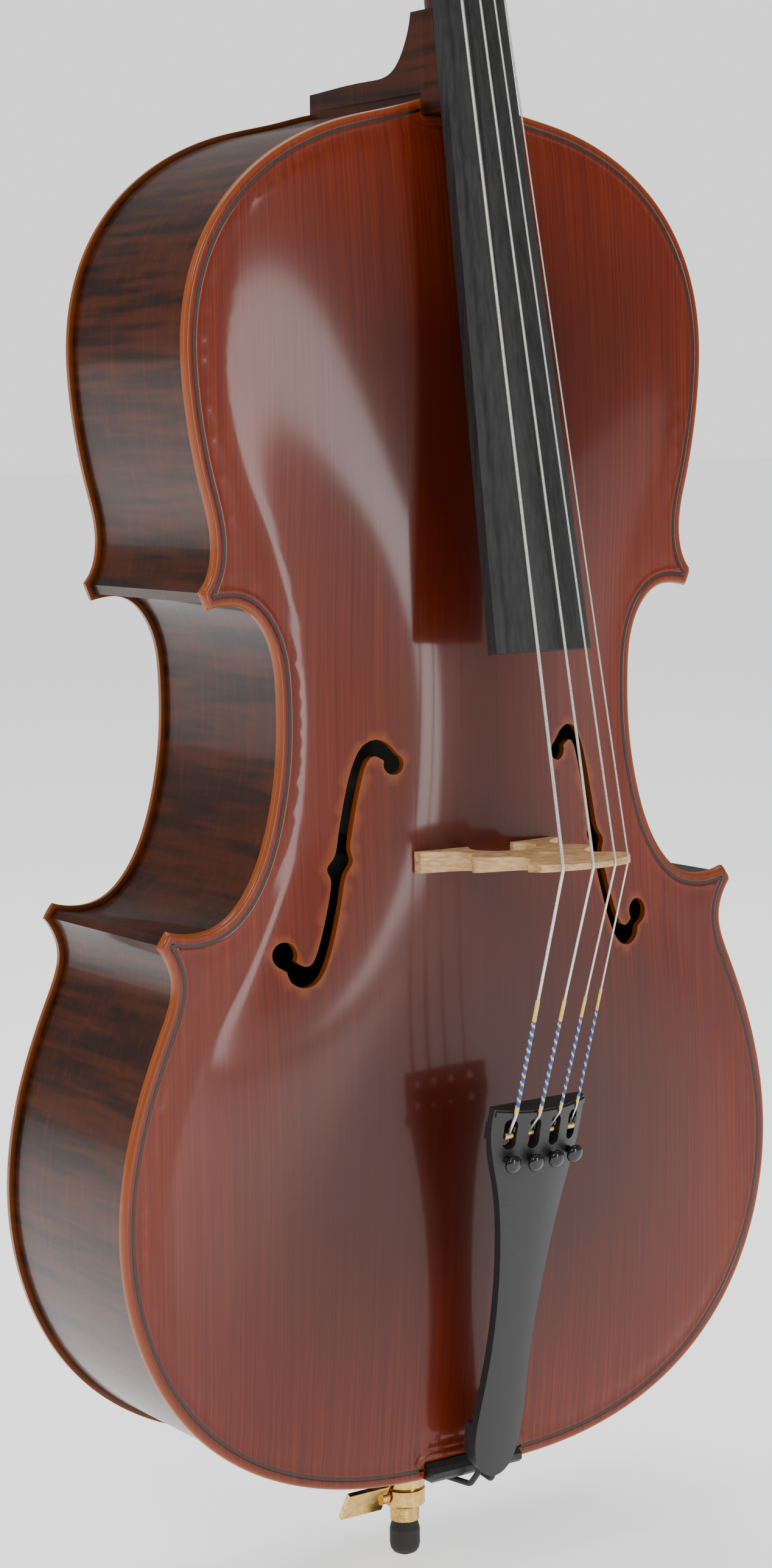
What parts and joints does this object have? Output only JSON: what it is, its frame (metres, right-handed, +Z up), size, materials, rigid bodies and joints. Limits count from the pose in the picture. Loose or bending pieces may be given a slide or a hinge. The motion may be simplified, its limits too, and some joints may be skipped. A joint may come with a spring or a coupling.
{
  "type": "cello",
  "caption": "Full-size bowed string instrument with arched plates, bridge, scroll neck, lever fine tuners and a sliding endpin locked by a thumb screw.",
  "frame": {"origin": "centre of the foot of the retracted endpin's rubber tip", "axes": "+Z up along the endpin and body towards the scroll, +X towards the treble side, front of the instrument faces -Y"},
  "size_m": [0.4342, 0.2726, 1.263],
  "materials": {
    "varnished_spruce": "glossy red-brown varnish over straight spruce grain, golden worn edge",
    "varnished_maple": "glossy dark red-brown varnish over flamed maple",
    "purfling_wood": "thin dark inlaid strip",
    "bare_spruce": "unvarnished",
    "ebonised_board": "matte black, oiled",
    "black_composite": "matte black moulded",
    "bridge_maple": "unvarnished maple with fine flecks",
    "black_fitting": "glossy black",
    "dark_steel": "blackened steel",
    "string_metal": "flat-wound, pale silver",
    "string_ball_brass": "plain",
    "peg_wood": "polished black",
    "tail_cord_black": "braided synthetic cord",
    "gold_metal": "polished gold-coloured plating",
    "rod_steel": "ground steel",
    "rubber_black": "matte moulded rubber"
  },
  "bodies": {
    "instrument": {"top_plate": "varnished_spruce", "back_plate": "varnished_maple", "upper_rib_bass": "varnished_maple", "upper_rib_treble": "varnished_maple", "center_rib_bass": "varnished_maple", "center_rib_treble": "varnished_maple", "lower_rib_bass": "varnished_maple", "lower_rib_treble": "varnished_maple", "neck": "varnished_maple", "top_purfling": "purfling_wood", "back_purfling": "purfling_wood", "neck_block": "bare_spruce", "end_block": "bare_spruce", "corner_blocks": "bare_spruce", "top_linings": "bare_spruce", "back_linings": "bare_spruce", "bass_bar": "bare_spruce", "sound_post": "bare_spruce", "fingerboard": "ebonised_board", "nut": "ebonised_board", "saddle": "ebonised_board", "tailpiece": "black_composite", "bridge": "bridge_maple", "tuner_axle": "dark_steel", "string_c": "string_metal", "string_g": "string_metal", "string_d": "string_metal", "string_a": "string_metal", "endpin_plug": "peg_wood", "tail_cord": "tail_cord_black", "endpin_collar": "gold_metal"},
    "endpin": {"endpin_rod": "rod_steel", "endpin_ferrule": "gold_metal", "endpin_tip": "rubber_black"},
    "endpin_thumb_screw": {"endpin_thumb_screw": "gold_metal"},
    "peg_c": {"peg_c": "peg_wood", "string_winding_c": "string_metal"},
    "peg_g": {"peg_g": "peg_wood", "string_winding_g": "string_metal"},
    "peg_d": {"peg_d": "peg_wood", "string_winding_d": "string_metal"},
    "peg_a": {"peg_a": "peg_wood", "string_winding_a": "string_metal"},
    "tuner_screw_c": {"tuner_screw_c": "dark_steel"},
    "tuner_knob_c": {"tuner_knob_c": "black_fitting"},
    "tuner_lever_c": {"tuner_lever_c": "black_fitting", "string_ball_c": "string_ball_brass"},
    "tuner_screw_g": {"tuner_screw_g": "dark_steel"},
    "tuner_knob_g": {"tuner_knob_g": "black_fitting"},
    "tuner_lever_g": {"tuner_lever_g": "black_fitting", "string_ball_g": "string_ball_brass"},
    "tuner_screw_d": {"tuner_screw_d": "dark_steel"},
    "tuner_knob_d": {"tuner_knob_d": "black_fitting"},
    "tuner_lever_d": {"tuner_lever_d": "black_fitting", "string_ball_d": "string_ball_brass"},
    "tuner_screw_a": {"tuner_screw_a": "dark_steel"},
    "tuner_knob_a": {"tuner_knob_a": "black_fitting"},
    "tuner_lever_a": {"tuner_lever_a": "black_fitting", "string_ball_a": "string_ball_brass"}
  },
  "joints": [
    {"name": "endpin_slide", "type": "slide", "parent": "instrument", "child": "endpin", "axis": [0, 0, -1], "range_m": [0, 0.33]},
    {"name": "thumb_screw_turn", "type": "hinge", "parent": "instrument", "child": "endpin_thumb_screw", "pos_m": [-0.02, 0, 0.034], "axis": [-1, 0, 0], "range_deg": [0, 540]},
    {"name": "peg_c_turn", "type": "hinge", "parent": "instrument", "child": "peg_c", "pos_m": [0, -0.01253, 1.13105], "axis": [-1, 0, 0], "continuous": true},
    {"name": "peg_g_turn", "type": "hinge", "parent": "instrument", "child": "peg_g", "pos_m": [0, 0.00039, 1.1752], "axis": [-1, 0, 0], "continuous": true},
    {"name": "peg_d_turn", "type": "hinge", "parent": "instrument", "child": "peg_d", "pos_m": [0, -0.00467, 1.15792], "axis": [1, 0, 0], "continuous": true},
    {"name": "peg_a_turn", "type": "hinge", "parent": "instrument", "child": "peg_a", "pos_m": [0, -0.01759, 1.11377], "axis": [1, 0, 0], "continuous": true},
    {"name": "tuner_screw_c_travel", "type": "slide", "parent": "instrument", "child": "tuner_screw_c", "axis": [0, 0.9703, 0.2419], "range_m": [0, 0.003]},
    {"name": "tuner_knob_c_turn", "type": "hinge", "parent": "tuner_screw_c", "child": "tuner_knob_c", "pos_m": [-0.0205, -0.13293, 0.24741], "axis": [0, 0.9703, 0.2419], "range_deg": [0, 2160]},
    {"name": "tuner_lever_c_tilt", "type": "hinge", "parent": "instrument", "child": "tuner_lever_c", "pos_m": [-0.0205, -0.12191, 0.26356], "axis": [1, 0, 0], "range_deg": [0, 14.33]},
    {"name": "tuner_screw_g_travel", "type": "slide", "parent": "instrument", "child": "tuner_screw_g", "axis": [0, 0.9703, 0.2419], "range_m": [0, 0.003]},
    {"name": "tuner_knob_g_turn", "type": "hinge", "parent": "tuner_screw_g", "child": "tuner_knob_g", "pos_m": [-0.00683, -0.13293, 0.24741], "axis": [0, 0.9703, 0.2419], "range_deg": [0, 2160]},
    {"name": "tuner_lever_g_tilt", "type": "hinge", "parent": "instrument", "child": "tuner_lever_g", "pos_m": [-0.00683, -0.12191, 0.26356], "axis": [1, 0, 0], "range_deg": [0, 14.33]},
    {"name": "tuner_screw_d_travel", "type": "slide", "parent": "instrument", "child": "tuner_screw_d", "axis": [0, 0.9703, 0.2419], "range_m": [0, 0.003]},
    {"name": "tuner_knob_d_turn", "type": "hinge", "parent": "tuner_screw_d", "child": "tuner_knob_d", "pos_m": [0.00683, -0.13293, 0.24741], "axis": [0, 0.9703, 0.2419], "range_deg": [0, 2160]},
    {"name": "tuner_lever_d_tilt", "type": "hinge", "parent": "instrument", "child": "tuner_lever_d", "pos_m": [0.00683, -0.12191, 0.26356], "axis": [1, 0, 0], "range_deg": [0, 14.33]},
    {"name": "tuner_screw_a_travel", "type": "slide", "parent": "instrument", "child": "tuner_screw_a", "axis": [0, 0.9703, 0.2419], "range_m": [0, 0.003]},
    {"name": "tuner_knob_a_turn", "type": "hinge", "parent": "tuner_screw_a", "child": "tuner_knob_a", "pos_m": [0.0205, -0.13293, 0.24741], "axis": [0, 0.9703, 0.2419], "range_deg": [0, 2160]},
    {"name": "tuner_lever_a_tilt", "type": "hinge", "parent": "instrument", "child": "tuner_lever_a", "pos_m": [0.0205, -0.12191, 0.26356], "axis": [1, 0, 0], "range_deg": [0, 14.33]}
  ],
  "couplings": [
    {"joint": "tuner_knob_c_turn", "follows": "tuner_screw_c_travel", "rad_per_m": 12566},
    {"joint": "tuner_lever_c_tilt", "follows": "tuner_screw_c_travel", "rad_per_m": 83.3},
    {"joint": "tuner_knob_g_turn", "follows": "tuner_screw_g_travel", "rad_per_m": 12566},
    {"joint": "tuner_lever_g_tilt", "follows": "tuner_screw_g_travel", "rad_per_m": 83.3},
    {"joint": "tuner_knob_d_turn", "follows": "tuner_screw_d_travel", "rad_per_m": 12566},
    {"joint": "tuner_lever_d_tilt", "follows": "tuner_screw_d_travel", "rad_per_m": 83.3},
    {"joint": "tuner_knob_a_turn", "follows": "tuner_screw_a_travel", "rad_per_m": 12566},
    {"joint": "tuner_lever_a_tilt", "follows": "tuner_screw_a_travel", "rad_per_m": 83.3}
  ]
}
